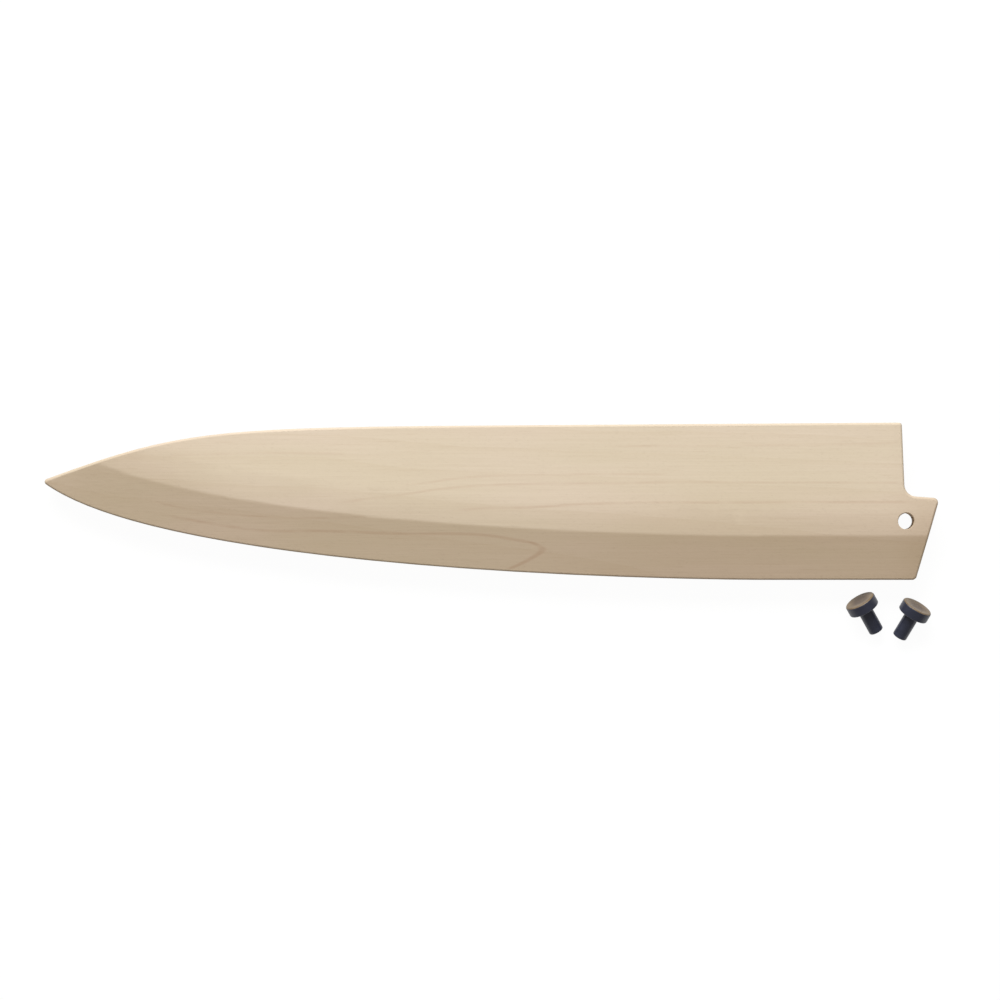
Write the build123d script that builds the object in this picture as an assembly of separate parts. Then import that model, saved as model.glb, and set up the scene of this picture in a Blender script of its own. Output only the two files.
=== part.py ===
from build123d import *
from math import atan, cos, degrees, radians, sin
import os

# Wooden blade guard lying on its back face, with the two black pins that lock a blade in it.
# Lengths are in millimetres and angles in degrees.
# While the parts are built, X is 0 at the corner of the tab and points out of the mouth,
# Y is 0 along the edge side and points to the spine, and Z points up.

# Outline of the guard
guard_length = 290.1
point_height = 32.0
point_radius = 1.0
edge_straight = 57.2
edge_pull = 20.0
edge_point_pull = 48.5
edge_point_angle = 38.3
spine_straight = 147.1
spine_height = 49.85
spine_pull = 90.0
spine_point_pull = 47.0
spine_point_angle = 20.0

# Mouth end: a leaning cut, a rounded foot and a tab below it
mouth_setback = 12.2
mouth_height = 50.8
mouth_corner_radius = 1.0
neck_setback = 11.2
neck_height = 27.2
neck_radius = 3.9
tab_height = 26.4
tab_corner_radius = 1.6
tab_foot_setback = 7.5
tab_foot_radius = 1.5

# The two boards, the glue between them and their bevels
board_thickness = 6.2
glue_thickness = 0.12
bevel_width = 14.2
bevel_drop = 2.85
ridge_ease = 0.7
crown_width = 10.5
crown_drop = 0.42
arris_radius = 0.8

# Hollow for the blade, half of it in each board
spine_wall = 7.6
edge_wall = 8.1
point_wall = 17.5
blade_point_height = 31.0
blade_edge_pull = 80.0
blade_edge_point_pull = 22.3
blade_spine_pull = 60.0
blade_spine_point_pull = 35.0
slot_depth = 2.15
slot_edge_depth = 0.8
slot_grind_width = 17.0
slot_ease = 0.8
slot_crown_width = 4.0
slot_crown_drop = 0.12
slot_point_radius = 1.0
slot_lead_in = 0.5

# Hole for a locking pin, right through both boards
hole_setback = 10.8
hole_height = 18.95
hole_chamfer = 0.3
pin_clearance = 0.2

# Locking pin: a dished round head on a plain shank
head_radius = 5.1
head_thickness = 3.55
head_top_radius = 0.6
dish_radius = 4.1
dish_depth = 0.3
shank_radius = 2.4
shank_length = 8.6
pin_edge_radius = 0.45

# Where the two pins lie: the middle of each head's flat end, and the way its shank points
pin_setback = 25.5
pin_drop = 6.6
pin_direction = -60.3
spare_setback = 6.6
spare_drop = 8.5
spare_direction = -120.0

# A crown meets its level face at a slight angle: this share of what would make it run in smoothly
crown_share = 0.8

# How far cutting shapes run past what they cut
overrun = 12.0


def side_lines(tip, edge_y, edge_pulls, spine_drop, spine_pulls):
    """The edge side from mouth to point, the spine side back, and the way along its straight.

    Each pair of pulls shapes a curve: the first at its straight end, the second at the point.
    """
    edge_start = Vector(-edge_straight, edge_y)
    spine_end = Vector(-spine_straight, spine_height - spine_drop)
    spine_way = (Vector(-mouth_setback, mouth_height - spine_drop) - spine_end).normalized()
    below = tip + Vector(edge_pulls[1], 0).rotate(Axis.Z, -edge_point_angle)
    above = tip + Vector(spine_pulls[1], 0).rotate(Axis.Z, spine_point_angle)
    edge = Bezier(edge_start, edge_start - Vector(edge_pulls[0], 0), below, tip)
    spine = Bezier(tip, above, spine_end - spine_way * spine_pulls[0], spine_end)
    return edge, spine, spine_way


def guard_lines():
    """The edge side and the spine side of the guard itself."""
    tip = Vector(-guard_length, point_height)
    return side_lines(tip, 0, (edge_pull, edge_point_pull), 0, (spine_pull, spine_point_pull))


def rising_wedge(edge, width, low, high, ease, crown_width, crown_drop):
    """All that lies over a slope rising inwards from the edge side, eased into a crowned face."""
    ridge = Vector(width, high - crown_drop)
    slope = (ridge - Vector(0, low)).normalized()
    crown = Vector(crown_width, crown_drop * 2 * crown_share).normalized()
    mouth = Vector(overrun, (edge @ 0).Y)
    past_tip = edge @ 1 + (edge % 1) * overrun
    path = Wire([Line(mouth, edge @ 0), edge, Line(edge @ 1, past_tip)])
    outer_low = ridge - slope * (width + overrun)
    slope_end = ridge - slope * ease
    crown_start = ridge + crown * ease
    crown_end = Vector(width + crown_width, high)
    inner_high = crown_end + Vector(0, overrun)
    outer_high = Vector(outer_low.X, inner_high.Y)
    section = [
        Line(outer_low, slope_end),
        TangentArc(slope_end, crown_start, tangent=slope),
        TangentArc(crown_start, crown_end, tangent=crown),
        Line(crown_end, inner_high),
        Line(inner_high, outer_high),
        Line(outer_high, outer_low),
    ]
    across = Plane(origin=mouth, x_dir=(0, 1, 0), z_dir=(1, 0, 0))
    return sweep(across * make_face(section), path=path)


def round_upright(solid, corner, radius):
    """Round the upright edge of a solid that stands nearest to a corner of its outline."""
    upright = solid.edges().filter_by(Axis.Z).sort_by_distance(corner)[0]
    return fillet(upright, radius)


def wall_edges(solid):
    """Every edge of the upright walls of a solid."""
    walls = solid.faces().filter_by(lambda face: abs(face.normal_at().Z) < sin(radians(1)))
    return ShapeList(line for wall in walls for line in wall.edges())


def guard_block(thickness):
    """The outline of the guard with its rounded corners, raised from Z 0."""
    edge, spine, spine_way = guard_lines()
    mouth_top = Vector(-mouth_setback, mouth_height)
    neck = Vector(-neck_setback, neck_height)
    tab = Vector(0, tab_height)
    tab_foot = Vector(-tab_foot_setback, 0)
    ends = Polyline(spine @ 1, mouth_top, neck, tab, tab_foot, edge @ 0)
    block = extrude(make_face([edge, spine, *ends.edges()]), thickness)
    block = round_upright(block, edge @ 1, point_radius)
    block = round_upright(block, mouth_top, mouth_corner_radius)
    block = round_upright(block, neck, neck_radius)
    block = round_upright(block, tab, tab_corner_radius)
    return round_upright(block, tab_foot, tab_foot_radius)


def blade_space(depth):
    """The outline of the blade, run out past the mouth and raised from Z 0."""
    tip = Vector(-guard_length + point_wall, blade_point_height)
    edge_pulls = (blade_edge_pull, blade_edge_point_pull)
    spine_pulls = (blade_spine_pull, blade_spine_point_pull)
    edge, spine, spine_way = side_lines(tip, edge_wall, edge_pulls, spine_wall, spine_pulls)
    mouth_high = spine @ 1 + spine_way * (spine_straight + overrun)
    mouth_low = Vector(mouth_high.X, edge_wall)
    ends = Polyline(spine @ 1, mouth_high, mouth_low, edge @ 0)
    space = extrude(make_face([edge, spine, *ends.edges()]), depth)
    return round_upright(space, edge @ 1, slot_point_radius), edge


def board():
    """One half of the guard with its glued face on Z 0 and its outer face up."""
    half = guard_block(board_thickness)
    edge, spine, spine_way = guard_lines()
    land = board_thickness - crown_drop - bevel_drop
    half -= rising_wedge(
        edge, bevel_width, land, board_thickness, ridge_ease, crown_width, crown_drop
    )

    # Each outer arris runs into the next one, so all are rounded together.
    arrises = wall_edges(half).filter_by(lambda line: min((line @ 0).Z, (line @ 1).Z) > land / 2)
    half = fillet(arrises, arris_radius)

    # The hollow is deepest along the blade's spine and grows shallow towards its cutting edge.
    space, blade_edge = blade_space(slot_depth)
    space -= rising_wedge(
        blade_edge,
        slot_grind_width,
        slot_edge_depth,
        slot_depth,
        slot_ease,
        slot_crown_width,
        slot_crown_drop,
    )
    half -= space

    # Ease the hollow's edge all along the mouth.
    def is_mouth_edge(line):
        lowest = min((line @ 0).Z, (line @ 1).Z)
        highest = max((line @ 0).Z, (line @ 1).Z)
        at_mouth = line.center().X > -mouth_setback
        return at_mouth and lowest > slot_edge_depth / 2 and highest < slot_depth + slot_edge_depth / 2

    half = chamfer(wall_edges(half).filter_by(is_mouth_edge), slot_lead_in)

    # The pin's hole, with a countersunk rim where it opens in the outer face.
    hole_radius = shank_radius + pin_clearance
    rim_radius = hole_radius + hole_chamfer
    opening = Pos(-hole_setback, hole_height, board_thickness - crown_drop / 2)
    half -= opening * Cylinder(hole_radius, board_thickness * 2)
    return half - opening * Cone(rim_radius - hole_chamfer * 2, rim_radius + hole_chamfer, hole_chamfer * 3)


def glue():
    """The dried glue film: the outline of the boards less that of the blade's hollow."""
    space, blade_edge = blade_space(glue_thickness)
    return guard_block(glue_thickness) - space


def round_corner(section, corner, radius):
    """Round the corner of a flat section that lies nearest to a point."""
    return fillet(section.vertices().sort_by_distance(corner)[0], radius)


def pin():
    """A pin along X, from the middle of its head's flat end at 0 to the end of its shank."""
    head_top = (0, head_radius)
    head_foot = (head_thickness, head_radius)
    shank_top = (head_thickness, shank_radius)
    shank_foot = (head_thickness + shank_length, shank_radius)
    axis_end = (head_thickness + shank_length, 0)
    section = make_face(Polyline((0, 0), head_top, head_foot, shank_top, shank_foot, axis_end, close=True))
    section = round_corner(section, head_top, head_top_radius)
    section = round_corner(section, head_foot, pin_edge_radius)
    section = round_corner(section, shank_foot, pin_edge_radius)
    ball_radius = (dish_radius**2 + dish_depth**2) / (2 * dish_depth)
    return revolve(section, Axis.X) - Pos(dish_depth - ball_radius) * Sphere(ball_radius)


def lying(a_pin, setback, drop, direction):
    """A pin resting on Z 0 on the rims of its head and its shank, which are rounded alike."""
    tilt = atan((head_radius - shank_radius) / shank_length)
    along = (head_thickness - pin_edge_radius) * sin(tilt)
    upward = (head_radius - pin_edge_radius) * cos(tilt) + pin_edge_radius
    place = Pos(-setback, -drop, along + upward)
    return place * Rot(0, 0, direction) * Rot(0, degrees(tilt), 0) * a_pin


half = board()
a_pin = pin()
parts = {
    "back_half": Pos(0, 0, board_thickness) * mirror(half, about=Plane.XY),
    "glue_line": Pos(0, 0, board_thickness) * glue(),
    "front_half": Pos(0, 0, board_thickness + glue_thickness) * half,
    "locking_pin": lying(a_pin, pin_setback, pin_drop, pin_direction),
    "spare_pin": lying(a_pin, spare_setback, spare_drop, spare_direction),
}

# The origin goes under the middle of the whole, on the surface that everything lies on.
box = Compound(list(parts.values())).bounding_box()
to_origin = Pos(-box.center().X, -box.center().Y, 0)
os.makedirs("parts", exist_ok=True)
for name, part in parts.items():
    export_step(to_origin * part, f"parts/{name}.step")
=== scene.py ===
import math

import bmesh
import bpy
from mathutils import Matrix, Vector


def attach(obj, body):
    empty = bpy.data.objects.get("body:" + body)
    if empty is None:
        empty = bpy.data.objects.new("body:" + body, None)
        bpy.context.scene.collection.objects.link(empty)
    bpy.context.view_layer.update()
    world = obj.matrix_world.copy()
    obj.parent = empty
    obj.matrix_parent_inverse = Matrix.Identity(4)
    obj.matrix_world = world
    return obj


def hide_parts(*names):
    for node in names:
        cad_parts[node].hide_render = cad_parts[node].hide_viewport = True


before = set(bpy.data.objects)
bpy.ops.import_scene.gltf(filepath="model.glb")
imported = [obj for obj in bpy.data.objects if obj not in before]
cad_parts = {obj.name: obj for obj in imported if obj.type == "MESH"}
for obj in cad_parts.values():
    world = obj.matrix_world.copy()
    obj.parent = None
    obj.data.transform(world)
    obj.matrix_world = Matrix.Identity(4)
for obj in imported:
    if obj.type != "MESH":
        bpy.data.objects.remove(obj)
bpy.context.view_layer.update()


# The two boards of the guard, front and back.
# Bare magnolia, planed and lightly sanded, hollowed on their inner faces and glued together.
# Each board keeps the form it was cut to; only its surface is worked here.
board_sharp_angle = 28
# A face that looks into the guard by more than this part of its normal is joint or hollow.
inward = 0.3
millimetres_in_metre = 1000.0
# Settings that several nodes share.
smooth = {"interpolation_type": "SMOOTHSTEP"}
colours = {"data_type": "RGBA"}
tinted = {"data_type": "RGBA", "blend_type": "MULTIPLY"}


def own_copy(node, name, sharp_angle):
    """A piece of our own with the form of a CAD node, smooth but for its true edges."""
    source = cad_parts[node]
    mesh = source.data.copy()
    mesh.transform(source.matrix_world)
    mesh.materials.clear()
    piece = bpy.data.objects.new(name, mesh)
    bpy.context.scene.collection.objects.link(piece)
    shape = bmesh.new()
    shape.from_mesh(mesh)
    same_place = 1e-6
    bmesh.ops.remove_doubles(shape, verts=shape.verts, dist=same_place)
    for edge in shape.edges:
        edge.smooth = edge.calc_face_angle(0) < math.radians(sharp_angle)
    for face in shape.faces:
        face.smooth = True
    shape.to_mesh(mesh)
    shape.free()
    # Wide faces keep their own direction, so that only the narrow rounds between them turn.
    modifier = piece.modifiers.new("weighted", "WEIGHTED_NORMAL")
    modifier.keep_sharp = True
    shown = piece.evaluated_get(bpy.context.evaluated_depsgraph_get())
    piece.data = bpy.data.meshes.new_from_object(shown)
    piece.modifiers.clear()
    return piece


def linear(hex_colour):
    """An sRGB colour written as RRGGBB, as the linear values that a shader takes."""
    parts = [int(hex_colour[i : i + 2], 16) / 255 for i in (0, 2, 4)]
    return [p / 12.92 if p <= 0.04045 else ((p + 0.055) / 1.055) ** 2.4 for p in parts] + [1.0]


def add(tree, kind, *values, **named):
    """A node with its inputs given in order, or by name. A name in small letters is a setting.

    A value is a number, a colour, a socket, or a node, which stands for its first output in use.
    """
    node = tree.nodes.new("ShaderNode" + kind)
    for name in filter(str.islower, named):
        setattr(node, name, named[name])
    given = list(zip([socket for socket in node.inputs if socket.enabled], values))
    for name in named:
        if not name.islower():
            given.append((node.inputs[name.replace("_", " ")], named[name]))
    for socket, value in given:
        if isinstance(value, bpy.types.Node):
            value = next(output for output in value.outputs if output.enabled)
        if isinstance(value, bpy.types.NodeSocket):
            tree.links.new(value, socket)
        else:
            socket.default_value = value
    return node


def bare_material(name):
    """A new material, its empty tree, and the place on a piece in millimetres."""
    made = bpy.data.materials.new(name)
    made.use_nodes = True
    tree = made.node_tree
    tree.nodes.clear()
    at = add(tree, "TexCoord").outputs["Object"]
    return made, tree, add(tree, "VectorMath", at, Scale=millimetres_in_metre, operation="SCALE")


def patches(tree, place, size, **noise):
    """Soft noise in patches of this length, width and depth in millimetres."""
    scaled = add(tree, "VectorMath", place, [1 / side for side in size], operation="MULTIPLY")
    return add(tree, "TexNoise", scaled, Scale=1.0, **noise)


def laid_over(tree, colour, layers):
    """A colour with layers over it: each has a mask, how strong it is, and its own colour."""
    for mask, strength, hex_colour in layers:
        share = add(tree, "Math", mask, strength, operation="MULTIPLY")
        colour = add(tree, "Mix", share, colour, linear(hex_colour), **colours)
    return colour


def year_rings(tree, place, in_log, pith):
    """The dark late wood of the rings round the pith, and how far the rings wander sideways."""
    # Rings 3.5 mm wide, on a log whose radius shrinks by 2 mm in each 100 mm.
    ring_width = 3.5
    narrowing = 0.02
    widest_wander = 9.0
    # A ring darkens slowly at first and then faster, as this power of the way across it.
    darkening = 5.0
    along, across, deep = add(tree, "SeparateXYZ", place).outputs
    wander = patches(tree, in_log, (90, 28, 20), Detail=3.0, Roughness=0.55)
    wander = add(tree, "Math", wander, widest_wander, -widest_wander / 2, operation="MULTIPLY_ADD")
    sideways = add(tree, "Math", across, wander, operation="ADD")
    in_section = add(tree, "CombineXYZ", 0.0, sideways, deep)
    radius = add(tree, "VectorMath", in_section, (0.0, *pith), operation="DISTANCE")
    radius = add(tree, "Math", along, narrowing, radius, operation="MULTIPLY_ADD")
    rings = add(tree, "Math", radius, ring_width, operation="DIVIDE")
    ring = add(tree, "Math", rings, operation="FRACT")
    return add(tree, "Math", ring, darkening, operation="POWER"), wander


def grain(tree, in_log):
    """The fibre, the threads in it and the pores, as noise that runs along the board."""
    # Fibre 0.6 mm across and 50 mm long, with threads a third of that size in it.
    fibre = patches(tree, in_log, (50, 0.6, 0.6), Detail=4.0, Roughness=0.62)
    thread = patches(tree, in_log, (20, 0.18, 0.18), Detail=2.0, Roughness=0.6)
    # Pores: dark specks 0.09 mm across and about a millimetre long.
    pore = patches(tree, in_log, (1.25, 0.09, 0.09), Detail=1.0, Roughness=0.5)
    return fibre, thread, add(tree, "MapRange", pore, 0.64, 0.74, **smooth)


def year_line(tree, run, rise, points, half_width):
    """A late-wood line through points (run, rise) in millimetres, faint at both its ends."""
    start, end = points[0][0], points[-1][0]
    margin = 1.0
    low = min(point[1] for point in points) - margin
    high = max(point[1] for point in points) + margin
    stops = [((x - start) / (end - start), (y - low) / (high - low)) for x, y in points]
    share = add(tree, "MapRange", run, start, end)
    curve = add(tree, "FloatCurve", Value=share)
    line = curve.mapping.curves[0]
    line.points[0].location = stops[0]
    line.points[1].location = stops[-1]
    for stop in stops[1:-1]:
        line.points.new(*stop)
    curve.mapping.update()
    centre = add(tree, "MapRange", curve, 0.0, 1.0, low, high)
    beside = add(tree, "Math", rise, centre, operation="SUBTRACT")
    away = add(tree, "Math", beside, operation="ABSOLUTE")
    # It is full over its core and fades out from there to its edge.
    core = 0.15 * half_width
    mask = add(tree, "MapRange", away, core, half_width, 1.0, 0.0, **smooth)
    # It comes in over a tenth of its length and goes out over the last bit.
    coming = add(tree, "MapRange", share, 0.0, 0.1, **smooth)
    going = add(tree, "MapRange", share, 0.94, 1.0, 1.0, 0.0, **smooth)
    ends = add(tree, "Math", coming, going, operation="MULTIPLY")
    return add(tree, "Math", mask, ends, operation="MULTIPLY")


def brown_lines(tree, place, in_log, wander, level_lines, turning_lines):
    """Layers for the ring lines that show on a board.

    They are fainter in some places than in others, and bend a little with the rings.
    """
    bend = 0.05
    along, across = add(tree, "SeparateXYZ", place).outputs[:2]
    along_bent = add(tree, "Math", wander, bend, along, operation="MULTIPLY_ADD")
    across_bent = add(tree, "Math", wander, bend, across, operation="MULTIPLY_ADD")
    uneven = patches(tree, in_log, (14, 4, 4), Detail=2.0, Roughness=0.6)
    uneven = add(tree, "MapRange", uneven, 0.35, 0.6, 0.35, 1.0, **smooth)
    lines = [(along_bent, across_bent, line) for line in level_lines]
    lines += [(across_bent, along_bent, line) for line in turning_lines]
    layers = []
    for run, rise, (points, half_width, strength) in lines:
        line = year_line(tree, run, rise, points, half_width)
        line = add(tree, "Math", line, uneven, operation="MULTIPLY")
        layers.append((line, strength, "B68B6F"))
    return layers


def face_tones(tree, place, wood):
    """The wood's colour, with painted shade on the bevel and crown, browner at mouth and point,
    and darker end grain.
    """
    along, across = add(tree, "SeparateXYZ", place).outputs[:2]
    normal = add(tree, "SeparateXYZ", add(tree, "NewGeometry").outputs["Normal"]).outputs
    # Painted shade: the bevel leans away from the lamp and is painted a darker and warmer tone,
    # and the crown of the face takes a little of it near the ridge. The bevel's normal leans 0.2
    # to the edge side, and the crown's up to 0.06.
    crown_painted_shade = add(tree, "MapRange", normal["Y"], -0.004, -0.062, **smooth)
    bevel_painted_shade = add(tree, "MapRange", normal["Y"], -0.08, -0.17, **smooth)
    wood = add(tree, "Mix", crown_painted_shade, wood, linear("F7F5F4"), **tinted)
    wood = add(tree, "Mix", bevel_painted_shade, wood, linear("EEEAE4"), **tinted)

    # Browner at the mouth, along the lower side near it and on the face at the point.
    low_down = add(tree, "MapRange", across, 20.0, 2.0, **smooth)
    near_mouth = add(tree, "MapRange", along, 0.0, 70.0, 0.12, 0.5, **smooth)
    at_mouth = add(tree, "MapRange", along, 126.0, 143.0, 0.0, 0.4, **smooth)
    at_point = add(tree, "MapRange", along, -70.0, -125.0, 0.0, 0.48, **smooth)
    off_bevel = add(tree, "Math", 1.0, bevel_painted_shade, operation="SUBTRACT")
    browner_near_ends = add(tree, "Math", low_down, near_mouth, at_mouth, operation="MULTIPLY_ADD")
    browner_near_ends = add(tree, "Math", at_point, off_bevel, browner_near_ends, operation="MULTIPLY_ADD")
    wood = add(tree, "Mix", browner_near_ends, wood, linear("EEE9E3"), **tinted)

    # End grain drinks in what touches it and shows darker, where the grain is cut across.
    endwise = add(tree, "Math", normal["X"], operation="ABSOLUTE")
    end_grain = add(tree, "MapRange", endwise, 0.45, 0.9, 0.0, 0.2, **smooth)
    return add(tree, "Mix", end_grain, wood, linear("C2A882"), **colours)


def magnolia(name, pith, shift, level_lines=(), turning_lines=(), carved=False):
    """Bare Japanese magnolia, sawn near the middle of the log, planed and lightly sanded.

    To the eye it is a pale, even cream with a grey-green cast, soft year rings, a thin
    browner line where a ring ends, a fine lengthwise fibre and a dull, dry surface.
    """
    made, tree, place = bare_material(name)
    in_log = add(tree, "VectorMath", place, shift, operation="ADD")
    late, wander = year_rings(tree, place, in_log, pith)
    fibre, thread, pore = grain(tree, in_log)
    dark_fibre = add(tree, "MapRange", fibre, 0.62, 0.36, **smooth)
    dark_thread = add(tree, "MapRange", thread, 0.62, 0.38, **smooth)
    # Flecks: short darker dashes 0.4 mm across and about 11 mm long.
    fleck = patches(tree, in_log, (11, 0.42, 0.42), Detail=1.0, Roughness=0.5)
    fleck = add(tree, "MapRange", fleck, 0.66, 0.76, **smooth)
    # Broad drifts of colour, 80 mm long and 17 mm wide.
    drift = patches(tree, in_log, (80, 17, 17), Detail=2.0, Roughness=0.5)
    drift = add(tree, "MapRange", drift, 0.3, 0.7, **smooth)
    cream = add(tree, "Mix", drift, linear("E3D2BD"), linear("DECFB6"), **colours)
    layers = [
        (late, 0.15, "CDB899"),
        (dark_fibre, 0.14, "CFBDA2"),
        (dark_thread, 0.07, "C9B596"),
        (fleck, 0.15, "BFA588"),
        *brown_lines(tree, place, in_log, wander, level_lines, turning_lines),
        (pore, 0.16, "9C8263"),
    ]
    wood = face_tones(tree, place, laid_over(tree, cream, layers))

    # Relief in millimetres: raised fibre and open pores a few hundredths of a millimetre deep.
    marks = [(fibre, 0.05), (thread, 0.03), (pore, -0.03)]
    if carved:
        # Gouge and scraper marks along the hollow, 1.25 mm wide.
        scrape = patches(tree, in_log, (20, 1.25, 1.25), Detail=1.0, Roughness=0.4)
        marks.append((scrape, 0.25))
    relief = 0.0
    for mark, height in marks:
        relief = add(tree, "Math", mark, height, relief, operation="MULTIPLY_ADD")
    bump = add(tree, "Bump", Strength=0.6, Distance=0.001, Height=relief)
    rough = add(tree, "Math", fibre, 0.14, 0.60, operation="MULTIPLY_ADD")
    surface = add(
        tree,
        "BsdfPrincipled",
        Base_Color=wood,
        Roughness=rough,
        Specular_IOR_Level=0.25,
        Normal=bump,
    )
    add(tree, "OutputMaterial", Surface=surface)
    return made


# Year lines seen on the front face and its bevel, listed as points (along, across) in
# millimetres, half the line's width and its strength.
face_lines = [
    ([(-16, 6.2), (-1.6, 7.6), (14, 8.1), (35, 9.2), (48, 9.5), (77, 9.5), (141, 9.6)], 0.7, 0.18),
    ([(-52, 9.0), (-29, 12.0), (-11, 14.4), (7.6, 15.4), (29, 15.7), (46, 15.6)], 0.65, 0.14),
    ([(-31, 14.7), (-20, 16.0), (-8, 17.6), (1.5, 18.1), (14, 18.5), (58, 18.5)], 0.6, 0.14),
    ([(40, 15.6), (60, 16.0), (100, 15.9), (134, 15.9)], 0.6, 0.15),
    ([(35, 27.7), (91, 28.0), (132, 28.7)], 0.6, 0.11),
    ([(-106, 24.5), (-75, 25.4), (-46, 25.1)], 0.6, 0.11),
]
bevel_line = [(-113, 7.2), (-98, 4.0), (-85, 1.8), (-73, 0.3), (-54, 0.2), (-30, -0.6)]
bevel_line += [(-5, -0.8), (7.6, -2.5), (13.5, -3.7), (16.5, -4.9), (20, -6.0)]
bevel_lines = [
    ([(-110, 10.4), (-92, 6.5), (-67, 4.6), (-40, 4.9)], 0.6, 0.15),
    (bevel_line, 0.75, 0.22),
]
# The end of the bevel's line turns back, so its points are (across, along).
turning_line = [(-2.8, 10.3), (-3.6, 13.7), (-4.6, 15.5), (-5.7, 16.5), (-6.6, 16.0)]
turning_line += [(-7.5, 14.7), (-8.6, 12.9), (-10.0, 10.2), (-12.2, 5.4)]
turning_lines = [(turning_line, 1.9, 0.3)]

# The pith lies well off each board, at (across, deep) in millimetres, and each board was sawn
# from its own place in the log.
for node, side, outward, pith, shift, level, turning in (
    ("front_half", "front", 1, (-7, -52), (310, 40, 7), face_lines + bevel_lines, turning_lines),
    ("back_half", "back", -1, (22, 66), (90, -35, 21), [], []),
):
    board = own_copy(node, side + "_board", board_sharp_angle)
    board.data.materials.append(magnolia("magnolia_" + side, pith, shift, level, turning))
    board.data.materials.append(magnolia("magnolia_" + side + "_hollow", pith, shift, carved=True))
    for face in board.data.polygons:
        face.material_index = 1 if face.normal.z * outward < -inward else 0
    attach(board, "guard")
    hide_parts(node)


# The glue between the boards.
# Rice paste, wiped off at the joint and dried to a thin brown line.
def dried_glue():
    """Dried starch glue: translucent brown, a little shiny, with dust and fibre caught in it."""
    made, tree, place = bare_material("dried_glue")
    patch = patches(tree, place, (4, 1.7, 1.7), Detail=3.0, Roughness=0.6)
    share = add(tree, "MapRange", patch, 0.35, 0.65, **smooth)
    colour = add(tree, "Mix", share, linear("A98A66"), linear("8C6C4B"), **colours)
    # Smears a few hundredths of a millimetre high.
    bump = add(tree, "Bump", Strength=0.4, Distance=0.0001, Height=patch)
    rough = add(tree, "MapRange", patch, 0.3, 0.7, 0.38, 0.62, **smooth)
    surface = add(tree, "BsdfPrincipled", Base_Color=colour, Roughness=rough, Normal=bump)
    add(tree, "OutputMaterial", Surface=surface)
    return made


glue_line = own_copy("glue_line", "glue_film", board_sharp_angle)
glue_line.data.materials.append(dried_glue())
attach(glue_line, "guard")
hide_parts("glue_line")


# The two locking pins: solid black plastic, injection moulded, with a dished round head.
# The mould was polished, so they are glossy, with fine scuffs from being pushed in and out, and
# the flat end of the head has a painted brown reflection, with painted shade in the dish, paler
# round its rim.
pin_sharp_angle = 40
# How much the flat end looks up as the pin lies.
end_rise = 0.31
# Faces of the flat end, and those of its rim too, look the end's way by more than this cosine.
end_cosine = 0.98
rim_cosine = 0.55


def plastic_tone(tree, wave, first, second):
    """Two near tones that the plastic's faint wave runs between."""
    share = add(tree, "MapRange", wave, 0.3, 0.7, **smooth)
    return add(tree, "Mix", share, linear(first), linear(second), **colours)


def plastic_surface(tree, place, wave, colour, gloss):
    """A moulded surface whose gloss is broken by hairline rubs 0.17 mm wide."""
    rub = patches(tree, place, (0.9, 0.17, 0.17), Detail=3.0, Roughness=0.6)
    rough = add(tree, "Math", rub, 0.16, gloss, operation="MULTIPLY_ADD")
    # Relief in millimetres: the wave of the mould and the scratch of the rubs.
    waves = add(tree, "Math", wave, 0.05, operation="MULTIPLY")
    height = add(tree, "Math", rub, 0.006, waves, operation="MULTIPLY_ADD")
    bump = add(tree, "Bump", Strength=0.5, Distance=0.001, Height=height)
    surface = add(tree, "BsdfPrincipled", Base_Color=colour, Roughness=rough, Normal=bump)
    add(tree, "OutputMaterial", Surface=surface)


def black_plastic():
    """Moulded black plastic: blue-black, glossy, faintly wavy, with hairline rubs."""
    made, tree, place = bare_material("black_plastic")
    wave = patches(tree, place, (2.2, 2.2, 2.2), Detail=2.0, Roughness=0.5)
    colour = plastic_tone(tree, wave, "2B2E3E", "323546")
    plastic_surface(tree, place, wave, colour, 0.32)
    return made


def plastic_painted_reflection(name, middle):
    """The same plastic with a painted brown reflection: painted shade in the dish, paler round the
    rim.
    """
    darkest_within = 1.6
    palest_beyond = 4.3
    made, tree, place = bare_material(name)
    wave = patches(tree, place, (2.2, 2.2, 2.2), Detail=2.0, Roughness=0.5)
    # Painted shade in the dish and a paler painted reflection round the rim.
    dish = plastic_tone(tree, wave, "4C3824", "56432D")
    rim = plastic_tone(tree, wave, "725F47", "7E6C53")
    outwards = add(tree, "VectorMath", place, middle, operation="DISTANCE")
    near_rim = add(tree, "MapRange", outwards, darkest_within, palest_beyond, **smooth)
    colour = add(tree, "Mix", near_rim, dish, rim, **colours)
    plastic_surface(tree, place, wave, colour, 0.36)
    return made


body_plastic = black_plastic()
for node, name, body, heading in (
    ("locking_pin", "pin_left", "pin_body", -60.3),
    ("spare_pin", "pin_right", "spare_body", -120.0),
):
    piece = own_copy(node, name, pin_sharp_angle)
    faces = piece.data.polygons
    # The flat end of the head faces back along the pin, and the pin leans up towards its head.
    turn = math.radians(heading)
    back = Vector((-math.cos(turn), -math.sin(turn), end_rise)).normalized()
    end_places = [face.center for face in faces if face.normal.dot(back) > end_cosine]
    middle = sum(end_places, Vector()) / len(end_places) * millimetres_in_metre
    piece.data.materials.append(body_plastic)
    # The flat end of each head takes the painted brown reflection and shade.
    piece.data.materials.append(plastic_painted_reflection("black_plastic_painted_reflection_" + node, middle))
    for face in faces:
        face.material_index = 1 if face.normal.dot(back) > rim_cosine else 0
    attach(piece, body)
    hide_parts(node)


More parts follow.
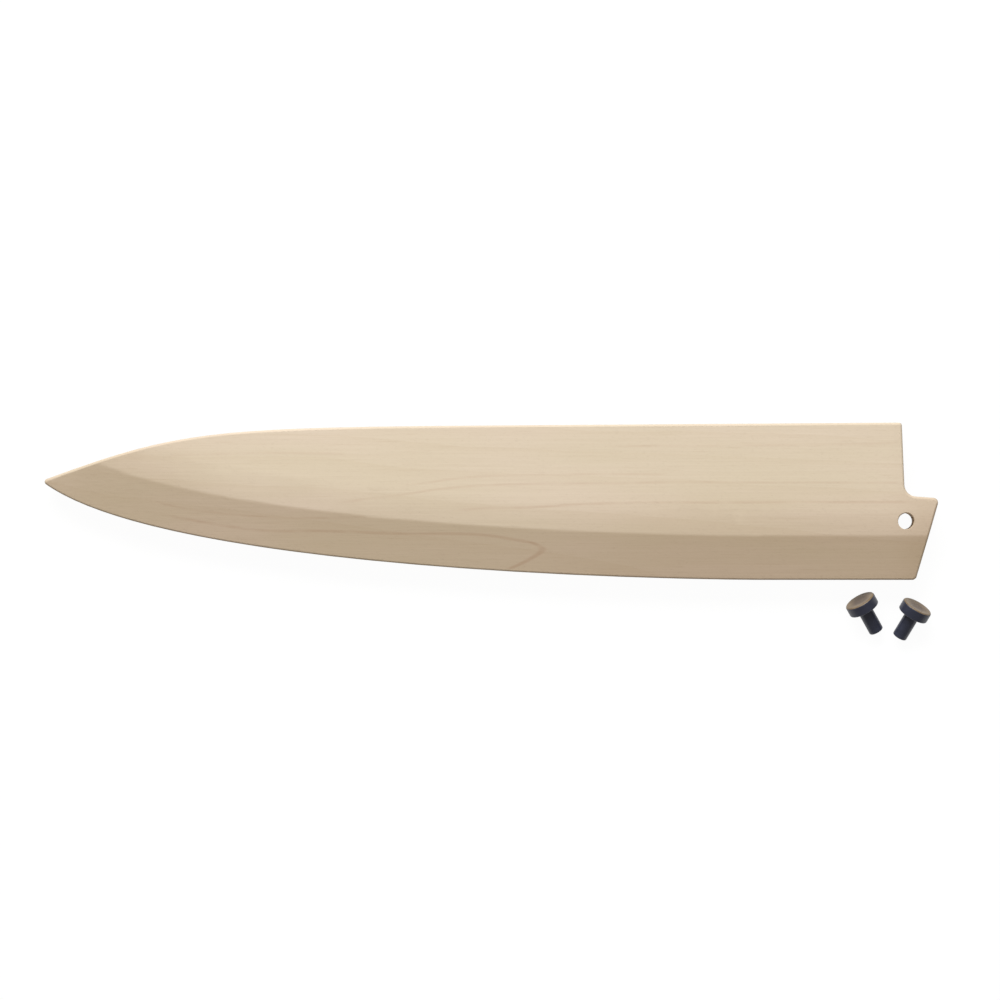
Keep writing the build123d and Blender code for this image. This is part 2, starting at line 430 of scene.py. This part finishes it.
# The white ground that everything lies on, in metres.
# It shows white to the camera and in gloss, throws a little light back up, and takes the soft
# shadow of what lies on it.
ground_reach = 3.0
ground_drop = 0.0002
light_thrown_back = 0.34
white_seen = 0.96
ground_corners = [(-1, -1), (1, -1), (1, 1), (-1, 1)]
floor_mesh = bpy.data.meshes.new("ground")
floor_mesh.from_pydata(
    [(x * ground_reach, y * ground_reach, -ground_drop) for x, y in ground_corners],
    [],
    [(0, 1, 2, 3)],
)
floor = bpy.data.objects.new("ground", floor_mesh)
bpy.context.scene.collection.objects.link(floor)
ground = bpy.data.materials.new("ground_white")
ground.use_nodes = True
tree = ground.node_tree
tree.nodes.clear()
ray = add(tree, "LightPath").outputs
seen = add(tree, "Math", ray["Is Glossy Ray"], ray["Is Transmission Ray"], operation="MAXIMUM")
seen = add(tree, "Math", ray["Is Camera Ray"], seen, operation="MAXIMUM")
strength = add(tree, "MapRange", seen, 0.0, 1.0, light_thrown_back, white_seen)
matt = add(tree, "BsdfDiffuse", Color=linear("454545"))
glow = add(tree, "Emission", Color=linear("FFFFFF"), Strength=strength)
both = add(tree, "AddShader", matt, glow)
add(tree, "OutputMaterial", Surface=both)
floor_mesh.materials.append(ground)

# Light: a wide soft lamp halfway up on the spine side, a little from the pointed end, and a dim
# white sky. Together they show a level surface about as its colour is written.
scene = bpy.context.scene
sky = bpy.data.worlds.new("sky")
scene.world = sky
sky.use_nodes = True
tree = sky.node_tree
tree.nodes.clear()
background = add(tree, "Background", Color=linear("FFFBF7"), Strength=0.32)
add(tree, "OutputWorld", Surface=background)
lamp = bpy.data.lights.new("spine_side_lamp", "AREA")
lamp.shape = "RECTANGLE"
lamp.size = 1.6
lamp.size_y = 0.9
lamp.energy = 46.0
lamp_distance = 2.0
lamp_direction = Vector((-0.14, 0.74, 0.66)).normalized()
lamp_holder = bpy.data.objects.new("spine_side_lamp", lamp)
lamp_holder.location = lamp_direction * lamp_distance
lamp_holder.rotation_euler = lamp_direction.to_track_quat("Z", "Y").to_euler()
scene.collection.objects.link(lamp_holder)

# Camera: a long lens straight above, in metres, so that the whole is seen almost without
# perspective. The picture's width is measured at the height of the outline that it sees, where
# the rounded arris ends.
camera_height = 2.0
outline_height = 0.0117
picture_width = 0.32273
picture_middle = (0.002895, 0.010279)
film_width = 36.0
camera_data = bpy.data.cameras.new("camera")
camera = bpy.data.objects.new("camera", camera_data)
scene.collection.objects.link(camera)
scene.camera = camera
camera.location = (*picture_middle, camera_height)
camera_data.sensor_width = film_width
camera_data.lens = film_width * (camera_height - outline_height) / picture_width
camera_data.clip_start = 0.1
camera_data.clip_end = 20.0
scene.view_settings.view_transform = "Standard"
